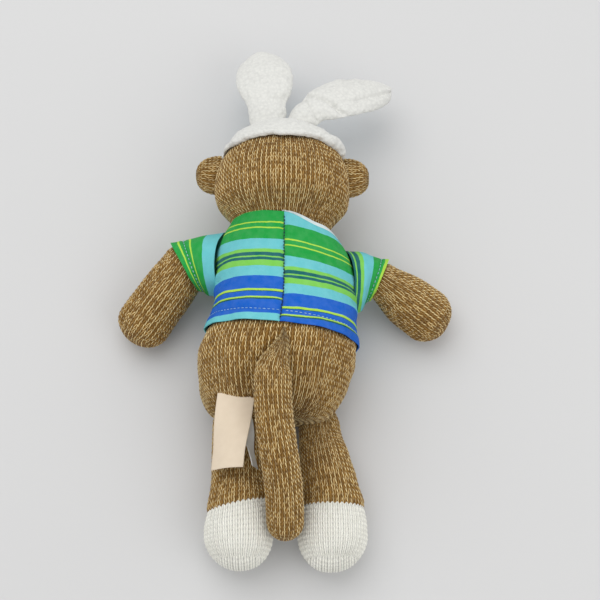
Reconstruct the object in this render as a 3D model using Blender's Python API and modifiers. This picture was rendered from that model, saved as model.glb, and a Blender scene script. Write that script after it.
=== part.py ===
"""A stuffed knitted monkey that lies face down, in a fleece cap with rabbit ears and a striped shirt.

Metres, +Z up. +Y runs towards the head, +X towards the toy's right hand, and the belly rests on z = 0 at the origin.
Sizes below are in millimetres and are scaled by MM where the meshes are made.
"""

import math

import bmesh
import bpy
from mathutils import Matrix, Vector

MM = 0.001

# Driving dimensions, in millimetres.
GAP = 0.3  # clearance between touching pieces
KNIT = 1.2  # thickness of the knit skin
JERSEY = 0.7  # thickness of the shirt cloth
FLEECE = 4.0  # thickness of the cap's fleece

SEAT_Y, CROWN_Y = -56.0, 60.0  # ends of the torso's egg shape, before the neck is cut off
NECK_Y = 42.8  # plane of the torso's neck opening
COLLAR_Y = 42.3  # plane of the shirt's collar
HEAD_CUT_Y = 45.0  # plane of the head's neck opening
BELLY_Z = 1.0  # height of the torso's flat underside
SEAT_SWAY = -4.0  # the seat lies a little towards the left
SHOULDER_SLOPE = 0.15  # the toy's left shoulder lies higher than its right
HEM_Y, HEM_SLOPE = -13.0, 0.10  # the hem at the centre, and its slope towards the right
SIDE_SEAM_Z = 27.0  # height of the shirt's side seams

HEAD_C = Vector((-1.0, 69.0, 44.0))
HEAD_R = Vector((37.0, 35.5, 34.0))
NECK_AXIS_Z = 42.0
MUZZLE_C = Vector((0.0, 60.0, 14.6))
MUZZLE_R = Vector((24.0, 14.0, 14.0))
EAR_R = Vector((12.0, 11.0, 4.5))
EAR_C = (38.5, 75.4, 43.0)
EYE_X, EYE_Y, EYE_R = 12.0, 78.4, 3.4
CAP_BRIM_Y, CAP_TILT = 87.0, 0.06

ARM_R, ARM_ROOT_R = 13.7, 11.5
SHOULDER_L, HAND_L = Vector((-55.0, 31.0, 25.0)), Vector((-80.5, 2.0, 14.2))
SHOULDER_R, HAND_R = Vector((55.0, 21.0, 25.5)), Vector((80.5, 6.0, 14.4))
SLEEVE_LENGTH, CUFF_R = 10.0, 15.2

LEG_R, FOOT_R = 15.4, 19.4
HIP_L, HIP_R = Vector((-25.5, -58.0, 19.6)), Vector((25.5, -58.0, 19.6))
ANKLE_W, TOE_W = 44.0, 77.5  # distances from the hip to the toe section and to the toe's end

TAIL_ROOT = Vector((0.0, -19.0, 71.4))
TAIL_R = 10.4

COLOURS = {
    "knit": (0.262, 0.153, 0.058),
    "toe_knit": (0.83, 0.84, 0.81),
    "muzzle_knit": (0.76, 0.70, 0.58),
    "fleece": (0.82, 0.82, 0.79),
    "lining": (0.55, 0.72, 0.80),
    "shirt": (0.05, 0.40, 0.35),
    "facing": (0.85, 0.88, 0.88),
    "satin": (0.80, 0.74, 0.62),
    "tape": (0.86, 0.86, 0.84),
    "thread": (0.14, 0.08, 0.03),
    "navy_thread": (0.01, 0.03, 0.08),
    "red_thread": (0.45, 0.02, 0.02),
    "black_plastic": (0.01, 0.01, 0.01),
    "white_plastic": (0.75, 0.75, 0.72),
    "stuffing": (0.86, 0.86, 0.86),
}
ROUGHNESS = {"black_plastic": 0.12, "white_plastic": 0.4, "satin": 0.45, "shirt": 0.6, "lining": 0.6}


for old in list(bpy.data.objects):
    bpy.data.objects.remove(old, do_unlink=True)

PARTS = bpy.data.collections.new("stuffed_monkey")
CUTTERS = bpy.data.collections.new("cutters")
for group in (PARTS, CUTTERS):
    bpy.context.scene.collection.children.link(group)


def material(kind):
    name = "mat_" + kind
    found = bpy.data.materials.get(name)
    if found:
        return found
    made = bpy.data.materials.new(name)
    made.use_nodes = True
    shader = made.node_tree.nodes["Principled BSDF"]
    shader.inputs["Base Color"].default_value = (*COLOURS[kind], 1.0)
    shader.inputs["Roughness"].default_value = ROUGHNESS.get(kind, 0.9)
    shader.inputs["Metallic"].default_value = 0.0
    return made


EMPTIES = {}


def pivot_empty(name, at):
    """The empty that a group of pieces hangs on, at its joint."""
    empty = bpy.data.objects.new("pivot_" + name, None)
    empty.empty_display_size = 0.01
    empty.location = Vector(at) * MM
    PARTS.objects.link(empty)
    EMPTIES[name] = Vector(at)
    return empty


def add(name, mesh, kind, group=None, matrix=None):
    """Links a mesh, given in millimetres, as a piece of the toy. Its origin goes to its group's joint."""
    obj = bpy.data.objects.new(name, mesh)
    if group is None:
        CUTTERS.objects.link(obj)
        obj.hide_render = True
        obj.display_type = "WIRE"
    else:
        PARTS.objects.link(obj)
        mesh.materials.append(material(kind))
    origin = EMPTIES.get(group, Vector())
    if matrix is None:
        mesh.transform(Matrix.Scale(MM, 4) @ Matrix.Translation(-origin))
        obj.location = origin * MM
    else:
        mesh.transform(Matrix.Scale(MM, 4))
        obj.matrix_world = Matrix.Translation(matrix.translation * MM) @ matrix.to_3x3().to_4x4()
    if group is not None:
        obj.parent = bpy.data.objects["pivot_" + group]
        obj.matrix_parent_inverse = Matrix.Translation(-origin * MM)
    mesh.shade_smooth()
    return obj


def subtract(obj, *cutters):
    for cutter in cutters:
        cut = obj.modifiers.new("cut_" + cutter.name, "BOOLEAN")
        cut.operation = "DIFFERENCE"
        cut.solver = "EXACT"
        cut.object = cutter
    return obj


def solidify(obj, thickness, offset=-1.0):
    wall = obj.modifiers.new("wall", "SOLIDIFY")
    wall.thickness = thickness * MM
    wall.offset = offset
    wall.use_even_offset = True
    return obj


def ball_mesh(name, place, around=24, along=12, axis="Y"):
    """A UV sphere whose points are moved by place(unit point). Its poles lie on the given axis."""
    bm = bmesh.new()
    bmesh.ops.create_uvsphere(bm, u_segments=around, v_segments=along, radius=1.0)
    if axis == "Y":
        bmesh.ops.rotate(bm, verts=bm.verts, cent=(0, 0, 0), matrix=Matrix.Rotation(-math.pi / 2, 3, "X"))
    elif axis == "X":
        bmesh.ops.rotate(bm, verts=bm.verts, cent=(0, 0, 0), matrix=Matrix.Rotation(math.pi / 2, 3, "Y"))
    for vert in bm.verts:
        vert.co = place(vert.co.copy())
    bmesh.ops.recalc_face_normals(bm, faces=bm.faces)
    mesh = bpy.data.meshes.new(name)
    bm.to_mesh(mesh)
    bm.free()
    return mesh


def trim(mesh, *planes, fill=False):
    """Cuts a mesh, still in millimetres, by planes given as (point, normal). The side the normal points to goes."""
    bm = bmesh.new()
    bm.from_mesh(mesh)
    for point, normal in planes:
        every = bm.verts[:] + bm.edges[:] + bm.faces[:]
        cut = bmesh.ops.bisect_plane(bm, geom=every, plane_co=point, plane_no=normal, clear_outer=True)
        if fill:
            edges = [e for e in cut["geom_cut"] if isinstance(e, bmesh.types.BMEdge)]
            bmesh.ops.holes_fill(bm, edges=edges)
    bm.to_mesh(mesh)
    bm.free()
    return mesh


def ellipsoid(centre, radii, grow=0.0):
    return lambda p: Vector([c + (r + grow) * q for c, r, q in zip(centre, radii, p)])


def blend_stations(stations, y):
    """Smooth interpolation of (y, value) design stations."""
    if y <= stations[0][0]:
        return stations[0][1]
    for (y0, v0), (y1, v1) in zip(stations, stations[1:]):
        if y <= y1:
            t = (y - y0) / (y1 - y0)
            return v0 + (v1 - v0) * t * t * (3 - 2 * t)
    return stations[-1][1]


def smoothstep(low, high, value):
    t = min(max((value - low) / (high - low), 0.0), 1.0)
    return t * t * (3 - 2 * t)


# The torso: half width, half height and mid height at stations along its length.
WIDTHS = ((-58, 48.0), (-25, 45.5), (0, 42.0), (22, 42.0), (34, 39.5), (46, 30.5), (60, 25.0))
HEIGHTS = ((-58, 33.0), (-25, 37.3), (0, 34.5), (22, 32.5), (44, 30.3), (60, 27.0))
MIDS = ((-58, 26.0), (-25, 31.5), (0, 32.0), (22, 34.0), (44, 38.0), (60, 39.0))


def torso(grow=0.0):
    """The torso's egg shape, flat underneath, grown outwards by so many millimetres."""
    mid, half = (SEAT_Y + CROWN_Y) / 2, (CROWN_Y - SEAT_Y) / 2

    def place(p):
        y = mid + half * p.y
        ring = math.sqrt(max(0.0, 1 - p.y * p.y))
        bulge = ring**0.6
        angle = math.atan2(p.z, p.x)
        c, s = math.cos(angle), math.sin(angle)
        wide = blend_stations(WIDTHS, y) * bulge + grow * ring**0.3
        high = blend_stations(HEIGHTS, y) * bulge + grow * ring**0.3
        x = wide * math.copysign(abs(c) ** 0.92, c)
        z = blend_stations(MIDS, y) + high * math.copysign(abs(s) ** 0.92, s)
        y = y + grow * p.y - SHOULDER_SLOPE * x * smoothstep(-20, 40, y)
        return Vector((x + SEAT_SWAY * smoothstep(-10, 35, -y), y, max(z, BELLY_Z - grow)))

    return place


def skin_of(name, place, planes, thickness, kind, group, around=24, along=12, axis="Y"):
    """A shell: the shape cut open by planes, thickened inwards."""
    mesh = trim(ball_mesh(name, place, around, along, axis), *planes)
    return solidify(add(name, mesh, kind, group), thickness)


def core_of(name, place, planes, kind, group, around=20, along=10, axis="Y"):
    """A solid: the shape cut flat by planes."""
    mesh = trim(ball_mesh(name, place, around, along, axis), *planes, fill=True)
    return add(name, mesh, kind, group)


def sphere_cutter(name, centre, radius, around=16, along=10):
    return add(name, ball_mesh(name, ellipsoid(centre, (radius,) * 3), around, along), None)


def aim(at, direction):
    """A matrix at a point, with its -Z axis along a direction."""
    turn = Vector(direction).normalized().to_track_quat("-Z", "Y")
    return Matrix.Translation(at) @ turn.to_matrix().to_4x4()


def turned(name, profile, matrix, kind, group, steps=16):
    """A turned piece: profile points are (distance along the piece, radius), from the top down the outer side."""
    mesh = bpy.data.meshes.new(name)
    bm = bmesh.new()
    points = [bm.verts.new((radius, 0.0, -along)) for along, radius in profile]
    for a, b in zip(points, points[1:]):
        bm.edges.new((a, b))
    bm.to_mesh(mesh)
    bm.free()
    obj = add(name, mesh, kind, group, matrix)
    screw = obj.modifiers.new("turn", "SCREW")
    screw.axis = "Z"
    screw.angle = 2 * math.pi
    screw.steps = screw.render_steps = steps
    screw.use_merge_vertices = True
    screw.merge_threshold = 0.00001
    screw.use_smooth_shade = True
    return obj


def closed_turned(name, loop, matrix, kind, group, steps=16):
    """A turned ring or tube whose profile is a closed loop of (distance, radius)."""
    return turned(name, list(loop) + [loop[0]], matrix, kind, group, steps)


def inset(outline, depth):
    """A turned outline moved inwards. Its last point stays on the axis."""
    moved = []
    for i, (w, r) in enumerate(outline):
        before, after = outline[max(i - 1, 0)], outline[min(i + 1, len(outline) - 1)]
        dw, dr = after[0] - before[0], after[1] - before[1]
        if i == len(outline) - 1 and r == 0.0:
            dw, dr = 0.0, -1.0
        length = math.hypot(dw, dr)
        moved.append((w + depth * dr / length, max(r - depth * dw / length, 0.0)))
    return moved


def arc(centre, radius, start, end, count):
    """Points on a quarter circle of a turned outline, angles in degrees from the piece's own direction."""
    points = []
    for i in range(count + 1):
        angle = math.radians(start + (end - start) * i / count)
        points.append((centre + radius * math.cos(angle), radius * math.sin(angle) if i < count or end else 0.0))
    return points


def ring_curve(name, points, radius, kind, group, cyclic, sides=2):
    """A thread laid along points, as a bevelled curve."""
    origin = EMPTIES[group]
    curve = bpy.data.curves.new(name, "CURVE")
    curve.dimensions = "3D"
    curve.bevel_depth = radius * MM
    curve.bevel_resolution = sides
    curve.use_fill_caps = not cyclic
    spline = curve.splines.new("POLY")
    spline.points.add(len(points) - 1)
    spline.use_cyclic_u = cyclic
    for knot, point in zip(spline.points, points):
        knot.co = (*((Vector(point) - origin) * MM), 1.0)
    curve.materials.append(material(kind))
    obj = bpy.data.objects.new(name, curve)
    obj.location = origin * MM
    obj.parent = bpy.data.objects["pivot_" + group]
    obj.matrix_parent_inverse = Matrix.Translation(-origin * MM)
    PARTS.objects.link(obj)
    return obj


# The empties, one at each joint.
pivot_empty("torso", (0, 0, 0))
pivot_empty("head", (0, HEAD_CUT_Y - 1.1, NECK_AXIS_Z))
pivot_empty("arm_left", SHOULDER_L)
pivot_empty("arm_right", SHOULDER_R)
pivot_empty("leg_left", HIP_L)
pivot_empty("leg_right", HIP_R)
pivot_empty("tail", TAIL_ROOT)
EAR_ROOT_L, EAR_ROOT_R = Vector((-9.5, 110.4, 46.0)), Vector((9.5, 110.2, 46.0))
pivot_empty("bunny_ear_left", EAR_ROOT_L)
pivot_empty("bunny_ear_right", EAR_ROOT_R)
TAG_ROOT = Vector((-25.0, -50.5, 44.0))
pivot_empty("tags", TAG_ROOT)

# Torso: a knit skin over its stuffing, open at the neck and where the legs are sewn in.
hips = [sphere_cutter("hip_%s_room" % side, hip, LEG_R + 1.6) for side, hip in (("left", HIP_L), ("right", HIP_R))]
neck_plane = ((0, NECK_Y, 0), (0, 1, 0))
subtract(skin_of("torso_skin", torso(), [neck_plane], KNIT, "knit", "torso", 22, 12), *hips)
subtract(core_of("torso_stuffing", torso(-KNIT - GAP - 1.2), [neck_plane], "stuffing", "torso", 22, 12), *hips)

# Shirt: a front panel and two back panels over the torso, with armholes.
SHIRT_GROW = GAP + JERSEY
hem_plane = ((0, HEM_Y, 0), Vector((-HEM_SLOPE, -1, 0)))
collar_plane = ((0, COLLAR_Y, 0), (0, 1, 0))
armholes = []
for side, at, sign in (("left", SHOULDER_L, -1), ("right", SHOULDER_R, 1)):
    bm = bmesh.new()
    bmesh.ops.create_cone(bm, cap_ends=True, segments=20, radius1=9.0, radius2=9.0, depth=30)
    hole = bpy.data.meshes.new("armhole_%s_room" % side)
    bm.to_mesh(hole)
    bm.free()
    turn = Matrix.Rotation(math.pi / 2, 4, "Y")
    hole.transform(Matrix.Translation((sign * 40.0, at.y, at.z)) @ turn)
    armholes.append(add("armhole_%s_room" % side, hole, None))
panels = {
    "shirt_front": ([((0, 0, SIDE_SEAM_Z - 0.2), (0, 0, 1))], armholes),
    "shirt_back_left": ([((0, 0, SIDE_SEAM_Z + 0.2), (0, 0, -1)), ((-0.25, 0, 0), (1, 0, 0))], armholes[:1]),
    "shirt_back_right": ([((0, 0, SIDE_SEAM_Z + 0.2), (0, 0, -1)), ((0.25, 0, 0), (-1, 0, 0))], armholes[1:]),
}
for panel, (planes, holes) in panels.items():
    shell = skin_of(panel, torso(SHIRT_GROW), [hem_plane, collar_plane, *planes], JERSEY, "shirt", "torso", 22, 12)
    subtract(shell, *holes)


def torso_line(angles, ys, grow):
    """Points on the torso's surface, at an angle round it and a place along it."""
    place, mid, half = torso(grow), (SEAT_Y + CROWN_Y) / 2, (CROWN_Y - SEAT_Y) / 2
    points = []
    for angle, y in zip(angles, ys):
        along = (y - mid) / (half + grow)
        ring = math.sqrt(1 - along * along)
        points.append(place(Vector((ring * math.cos(angle), along, ring * math.sin(angle)))))
    return points


count = 14
ring_curve(
    "shirt_back_seam",
    torso_line([math.pi / 2] * count, [-11 + 50 * i / (count - 1) for i in range(count)], SHIRT_GROW + GAP + 0.9),
    0.4, "navy_thread", "torso", False, 1,
)
count = 22
collar_ring = [Vector((p.x, 43.65, p.z)) for p in torso_line(
    [2 * math.pi * i / count for i in range(count)], [COLLAR_Y - 0.5] * count, SHIRT_GROW - 0.3)]
ring_curve("shirt_neck_facing", collar_ring, 0.7, "facing", "torso", True, 1)

# Head: a knit ball open at the neck, its stuffing, and the thread that gathers it there.
head_plane = ((0, HEAD_CUT_Y, 0), (0, -1, 0))
head_skin = skin_of("head_skin", ellipsoid(HEAD_C, HEAD_R), [head_plane], KNIT, "knit", "head", 22, 12)
head_core = core_of("head_stuffing", ellipsoid(HEAD_C, HEAD_R, -KNIT - GAP - 0.3), [head_plane], "stuffing", "head", 22, 12)
neck_ring = [Vector((19.0 * math.cos(a), 43.9, NECK_AXIS_Z + 19.0 * math.sin(a)))
             for a in (2 * math.pi * i / 18 for i in range(18))]
ring_curve("neck_thread", neck_ring, 0.6, "thread", "head", True, 1)

head_room = add("head_room", ball_mesh("head_room", ellipsoid(HEAD_C, HEAD_R, GAP + 0.25), 22, 12), None)

# Muzzle: a knit cup on the face, its stuffing, and the stitched mouth and nostrils.
muzzle = add("muzzle_skin", ball_mesh("muzzle_skin", ellipsoid(MUZZLE_C, MUZZLE_R), 16, 10, "Z"), "muzzle_knit", "head")
muzzle_room = add("muzzle_room", ball_mesh("muzzle_room", ellipsoid(MUZZLE_C, MUZZLE_R, -KNIT), 16, 10, "Z"), None)
subtract(muzzle, muzzle_room, head_room)
stuffed = ball_mesh("muzzle_stuffing", ellipsoid(MUZZLE_C, MUZZLE_R, -KNIT - GAP - 0.2), 16, 10, "Z")
subtract(add("muzzle_stuffing", stuffed, "stuffing", "head"), head_room)


def muzzle_front(x, y, lift):
    """A point on the muzzle's front, lifted off it."""
    r = [q + lift for q in MUZZLE_R]
    drop = 1 - (x / r[0]) ** 2 - ((y - MUZZLE_C.y) / r[1]) ** 2
    return Vector((x, y, MUZZLE_C.z - r[2] * math.sqrt(drop)))


count = 13
mouth = [muzzle_front(-15 + 30 * i / (count - 1), 53.0 + 3.0 * ((i - 6) / 6) ** 2, 1.0) for i in range(count)]
ring_curve("mouth_stitching", mouth, 0.5, "red_thread", "head", False, 1)
for side, sign in (("left", -1), ("right", 1)):
    stitch = [muzzle_front(sign * x, 67.5, 0.9) for x in (2.6, 3.8, 5.0)]
    ring_curve("nostril_stitch_" + side, stitch, 0.45, "thread", "head", False, 1)

# Eyes: domed heads on shanks through the skin, each held by a washer inside.
for side, sign in (("left", -1), ("right", 1)):
    x, y = HEAD_C.x + sign * EYE_X, EYE_Y
    drop = math.sqrt(1 - ((x - HEAD_C.x) / HEAD_R.x) ** 2 - ((y - HEAD_C.y) / HEAD_R.y) ** 2)
    at = Vector((x, y, HEAD_C.z - HEAD_R.z * drop))
    out = Vector(((x - HEAD_C.x) / HEAD_R.x**2, (y - HEAD_C.y) / HEAD_R.y**2, (at.z - HEAD_C.z) / HEAD_R.z**2)).normalized()
    frame = aim(at, out)
    shank = [(-4.4, 0.0), (-4.4, 1.0), (0.6, 1.0), (0.6, EYE_R), (1.4, EYE_R * 0.97), (2.2, EYE_R * 0.8),
             (2.9, EYE_R * 0.45), (3.1, 0.0)]
    turned("eye_" + side, shank, frame, "black_plastic", "head", 12)
    washer = [(-2.8, 1.3), (-2.8, 3.4), (-2.0, 3.4), (-2.0, 1.3)]
    closed_turned("eye_washer_" + side, washer, frame, "white_plastic", "head", 12)
    room = [(-5.0, 0.0), (-5.0, 4.0), (-1.0, 4.0), (-1.0, 0.0)]
    pocket = turned("eye_%s_pocket" % side, room, frame, None, None, 12)
    hole = turned("eye_%s_hole" % side, [(-3.0, 0.0), (-3.0, 1.4), (3.0, 1.4), (3.0, 0.0)], frame, None, None, 12)
    subtract(head_skin, hole)
    subtract(head_core, pocket)

# Ears of the monkey: two flat knit pads sewn to the sides of the head.
for side, sign in (("left", -1), ("right", 1)):
    centre = Vector((HEAD_C.x + sign * EAR_C[0], EAR_C[1], EAR_C[2]))
    ear = add("ear_" + side, ball_mesh("ear_" + side, ellipsoid(centre, EAR_R), 14, 8, "Z"), "knit", "head")
    subtract(ear, head_room)

# Cap: a fleece dome over the crown.
brim = ((0, CAP_BRIM_Y, HEAD_C.z), Vector((0, -1, CAP_TILT)))
skin_of("fleece_cap", ellipsoid(HEAD_C, HEAD_R, FLEECE + GAP + 0.2), [brim], FLEECE, "fleece", "head", 22, 12)


def bunny_ear(side, root, bend, tip, wide, roll):
    """A rabbit ear: a flat leaf along a bent line, with its lining laid on the underside."""

    def centre(t):
        return root * (1 - t) ** 2 + bend * 2 * t * (1 - t) + tip * t**2

    def leaf(lift):
        def place(p):
            t = 0.5 + 0.5 * p.y
            ahead = (centre(min(t + 0.02, 1.0)) - centre(max(t - 0.02, 0.0))).normalized()
            across = ahead.cross(Vector((0, 0, 1))).normalized()
            up = across.cross(ahead)
            across = across * math.cos(roll) + up * math.sin(roll)
            up = across.cross(ahead)
            half = wide * (0.62 + 0.55 * t - 0.17 * t * t)
            return centre(t) + across * half * p.x + up * (lift - 2.0 * p.x * p.x)

        return place

    name = "bunny_ear_" + side
    half_ball = [((0, 0, 0.001), (0, 0, -1))]
    for piece, lift, thick, kind in ((name, 1.4, 2.6, "fleece"), ("bunny_ear_lining_" + side, -1.9, 0.8, "lining")):
        mesh = trim(ball_mesh(piece, lambda p: p, 14, 8, "Z"), *half_ball)
        move = leaf(lift)
        shrink = 1.0 if kind == "fleece" else 0.86
        for vert in mesh.vertices:
            vert.co = move(vert.co * shrink)
        solidify(add(piece, mesh, kind, name), thick, -1.0)


bunny_ear("left", EAR_ROOT_L, Vector((-11.0, 137.0, 44.0)), Vector((-14.0, 159.0, 25.0)), 17.0, 0.0)
bunny_ear("right", EAR_ROOT_R, Vector((18.0, 137.0, 46.0)), Vector((61.0, 130.0, 25.0)), 13.0, 0.3)

# Arms with sleeves.
for side, shoulder, hand in (("left", SHOULDER_L, HAND_L), ("right", SHOULDER_R, HAND_R)):
    body = "arm_" + side
    frame, length = aim(shoulder, hand - shoulder), (hand - shoulder).length
    outline = arc(0.0, ARM_ROOT_R, 150, 90, 3)[:-1] + [(0.0, ARM_ROOT_R), (10.0, 12.0), (22.0, 13.2)]
    outline += arc(length, ARM_R, 90, 0, 5)
    wall = inset(outline, KNIT)
    turned("arm_%s_skin" % side, wall[::-1] + outline, frame, "knit", body)
    core = inset(outline, KNIT + GAP)
    turned("arm_%s_stuffing" % side, [(core[0][0], 0.0)] + core, frame, "stuffing", body)
    cap = arc(0.0, ARM_ROOT_R + 0.4, 140, 90, 3)[:-1] + [(0.0, ARM_ROOT_R + 0.4), (SLEEVE_LENGTH, CUFF_R - JERSEY)]
    over = arc(0.0, ARM_ROOT_R + 0.4 + JERSEY, 140, 90, 3)[:-1] + [(0.0, ARM_ROOT_R + 0.4 + JERSEY), (SLEEVE_LENGTH, CUFF_R)]
    closed_turned("sleeve_" + side, over + cap[::-1], frame, "shirt", body, 18)
    sign = -1 if side == "left" else 1
    seam = [Vector((sign * 43.7, shoulder.y + 10.2 * math.cos(a), shoulder.z + 10.2 * math.sin(a)))
            for a in (2 * math.pi * i / 14 for i in range(14))]
    ring_curve("armhole_thread_" + side, seam, 0.45, "thread", "torso", True, 1)

# Legs with white toe sections.
for side, hip, lean in (("left", HIP_L, 0.01), ("right", HIP_R, 0.005)):
    body = "leg_" + side
    frame = aim(hip, Vector((lean, -1.0, 0.0)))
    toe = TOE_W - FOOT_R
    leg = arc(0.0, LEG_R, 155, 90, 4)[:-1] + [(0.0, LEG_R), (18.0, LEG_R), (33.0, LEG_R + 0.2), (ANKLE_W, LEG_R + 1.6)]
    foot = [(ANKLE_W, LEG_R + 1.6), (ANKLE_W + 8.0, FOOT_R - 0.6)] + arc(toe, FOOT_R, 90, 0, 5)
    whole = leg + foot[1:]
    wall = inset(whole, KNIT)
    split = len(leg) - 1
    turned("foot_%s_cap" % side, wall[split:][::-1] + whole[split:], frame, "toe_knit", body)
    rim = GAP
    upper = whole[:split] + [(whole[split][0] - rim, whole[split][1])]
    inner = wall[:split] + [(whole[split][0] - rim, wall[split][1])]
    closed_turned("leg_%s_skin" % side, upper + inner[::-1], frame, "knit", body)
    core = inset(whole, KNIT + GAP)
    turned("leg_%s_stuffing" % side, [(core[0][0], 0.0)] + core, frame, "stuffing", body)
    stitch = [frame @ Vector((7.5 * math.cos(a), 7.5 * math.sin(a), LEG_R - 1.15))
              for a in (2 * math.pi * i / 12 for i in range(12))]
    ring_curve("hip_thread_" + side, stitch, 0.4, "thread", body, True, 1)


# Tail: a bent knit tube that narrows to its root, with its stuffing.
def tail_path(t):
    """The tail's centre line, from its root over the seat and down between the legs."""
    mid, end = Vector((0.0, -68.0, 67.5)), Vector((1.0, -110.0, 38.0))
    return TAIL_ROOT * (1 - t) ** 2 + mid * 2 * t * (1 - t) + end * t**2


def tail_mesh(name, shrink, from_t, lengthen=0.0):
    curve = bpy.data.curves.new(name, "CURVE")
    curve.dimensions = "3D"
    curve.bevel_depth = MM
    curve.bevel_resolution = 3
    curve.use_fill_caps = True
    knots = []
    for i in range(13):
        t = from_t + (1 - from_t) * i / 12
        radius = 3.4 + (TAIL_R - 3.4) * smoothstep(0.0, 0.42, t) - shrink
        knots.append((tail_path(t), radius))
    end, ahead = tail_path(1.0), (tail_path(1.0) - tail_path(0.96)).normalized()
    radius = TAIL_R - shrink
    for angle in (25, 50, 70, 84):
        a = math.radians(angle)
        knots.append((end + ahead * radius * math.sin(a), radius * math.cos(a)))
    if lengthen:
        back = (tail_path(from_t) - tail_path(from_t + 0.05)).normalized()
        knots.insert(0, (tail_path(from_t) + back * lengthen, knots[0][1]))
    spline = curve.splines.new("POLY")
    spline.points.add(len(knots) - 1)
    for knot, (point, radius) in zip(spline.points, knots):
        knot.co, knot.radius = (*(point * MM), 1.0), radius
    guide = bpy.data.objects.new(name + "_guide", curve)
    CUTTERS.objects.link(guide)
    bpy.context.view_layer.update()
    graph = bpy.context.evaluated_depsgraph_get()
    mesh = bpy.data.meshes.new_from_object(guide.evaluated_get(graph))
    bpy.data.objects.remove(guide, do_unlink=True)
    bm = bmesh.new()
    bm.from_mesh(mesh)
    bmesh.ops.remove_doubles(bm, verts=bm.verts, dist=1e-6)
    bmesh.ops.recalc_face_normals(bm, faces=bm.faces)
    bm.to_mesh(mesh)
    bm.free()
    mesh.materials.clear()
    mesh.transform(Matrix.Scale(1 / MM, 4))
    return mesh


tail_hollow = add("tail_room", tail_mesh("tail_room", KNIT, 0.0, 3.0), None)
subtract(add("tail_skin", tail_mesh("tail_skin", 0.0, 0.0), "knit", "tail"), tail_hollow)
add("tail_stuffing", tail_mesh("tail_stuffing", KNIT + GAP, 0.03), "stuffing", "tail")
back = (tail_path(0.0) - tail_path(0.05)).normalized()
side_way = Vector((1, 0, 0))
up_way = side_way.cross(back)
stitch = [TAIL_ROOT + back * 0.9 + (side_way * math.cos(a) + up_way * math.sin(a)) * 2.6
          for a in (2 * math.pi * i / 12 for i in range(12))]
ring_curve("tail_thread", stitch, 0.4, "thread", "tail", True, 1)


# Labels: two bare tabs sewn into the seat seam, one wide and one narrow, both hanging over the left leg.
def tab(name, kind, corner, wide, long, bow, lift, thick, drop):
    mesh = bpy.data.meshes.new(name)
    bm = bmesh.new()
    bmesh.ops.create_grid(bm, x_segments=4, y_segments=8, size=0.5)
    for vert in bm.verts:
        u, v = vert.co.x, 0.5 - vert.co.y
        vert.co = corner + Vector((wide * u - 4.0 * v * v, -long * v, lift + bow * math.sin(math.pi * v) - drop * v * v))
    bmesh.ops.recalc_face_normals(bm, faces=bm.faces)
    bm.to_mesh(mesh)
    bm.free()
    return solidify(add(name, mesh, kind, "tags"), thick, 0.0)


tab("label", "satin", TAG_ROOT + Vector((0.0, -1.0, 0.0)), 19.5, 41.0, 3.0, 1.8, 0.5, 7.5)
tab("care_label", "tape", TAG_ROOT + Vector((8.0, -1.0, 0.0)), 10.0, 34.0, 1.2, 0.4, 0.4, 6.0)
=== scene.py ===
"""Looks of the stuffed monkey: knit skins, fleece cap with rabbit ears, striped shirt and bare labels, on the CAD frame.

Shapes are worked out in millimetres and scaled to metres where the meshes are made.
"""

import math

import bmesh
import bpy
import numpy as np
from mathutils import Matrix, Vector


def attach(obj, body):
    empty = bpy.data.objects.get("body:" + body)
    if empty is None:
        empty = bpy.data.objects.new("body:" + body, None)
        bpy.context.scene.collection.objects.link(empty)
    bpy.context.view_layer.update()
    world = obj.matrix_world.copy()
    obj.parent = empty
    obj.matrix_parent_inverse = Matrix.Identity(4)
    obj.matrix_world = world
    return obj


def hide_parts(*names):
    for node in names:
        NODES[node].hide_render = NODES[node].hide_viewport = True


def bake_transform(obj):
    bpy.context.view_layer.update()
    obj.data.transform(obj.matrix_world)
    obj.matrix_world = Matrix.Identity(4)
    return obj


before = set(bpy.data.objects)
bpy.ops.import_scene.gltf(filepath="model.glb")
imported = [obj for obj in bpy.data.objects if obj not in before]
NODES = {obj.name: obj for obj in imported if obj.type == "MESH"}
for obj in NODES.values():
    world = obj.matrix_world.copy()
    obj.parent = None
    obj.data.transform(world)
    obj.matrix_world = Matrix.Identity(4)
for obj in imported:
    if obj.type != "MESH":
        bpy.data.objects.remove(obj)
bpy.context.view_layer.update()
SCENE = bpy.context.scene
for spare in ("Cube", "Light", "Camera"):
    if spare in bpy.data.objects:
        bpy.data.objects.remove(bpy.data.objects[spare], do_unlink=True)


# ---------------------------------------------------------------- numbers and noise
def smooth(lo, hi, v):
    t = np.clip((v - lo) / (hi - lo), 0.0, 1.0)
    return t * t * (3 - 2 * t)


def stations(table, y):
    y = np.asarray(y, float)
    out = np.full_like(y, table[0][1])
    for (y0, v0), (y1, v1) in zip(table, table[1:]):
        out = np.where(y >= y0, v0 + (v1 - v0) * smooth(y0, y1, y), out)
    return out


def curve(table, y):
    """Cubic line through the table's points."""
    xs, vs = (np.array([row[k] for row in table], float) for k in (0, 1))
    slope = np.gradient(vs, xs)
    y = np.clip(np.asarray(y, float), xs[0], xs[-1])
    i = np.clip(np.searchsorted(xs, y) - 1, 0, len(xs) - 2)
    h = xs[i + 1] - xs[i]
    t = (y - xs[i]) / h
    return (
        vs[i] * (1 + 2 * t) * (1 - t) ** 2
        + slope[i] * h * t * (1 - t) ** 2
        + vs[i + 1] * t * t * (3 - 2 * t)
        + slope[i + 1] * h * t * t * (t - 1)
    )


def bump(v, centre, width):
    return np.exp(-(((v - centre) / width) ** 2))


def hashed(i, j, k, seed):
    n = (i * 374761393 + j * 668265263 + k * 1440662683 + seed * 1274126177) & 0xFFFFFFFF
    n = ((n ^ (n >> 13)) * 1274126177) & 0xFFFFFFFF
    return ((n ^ (n >> 16)) & 0xFFFFFF) / float(0xFFFFFF)


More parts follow.
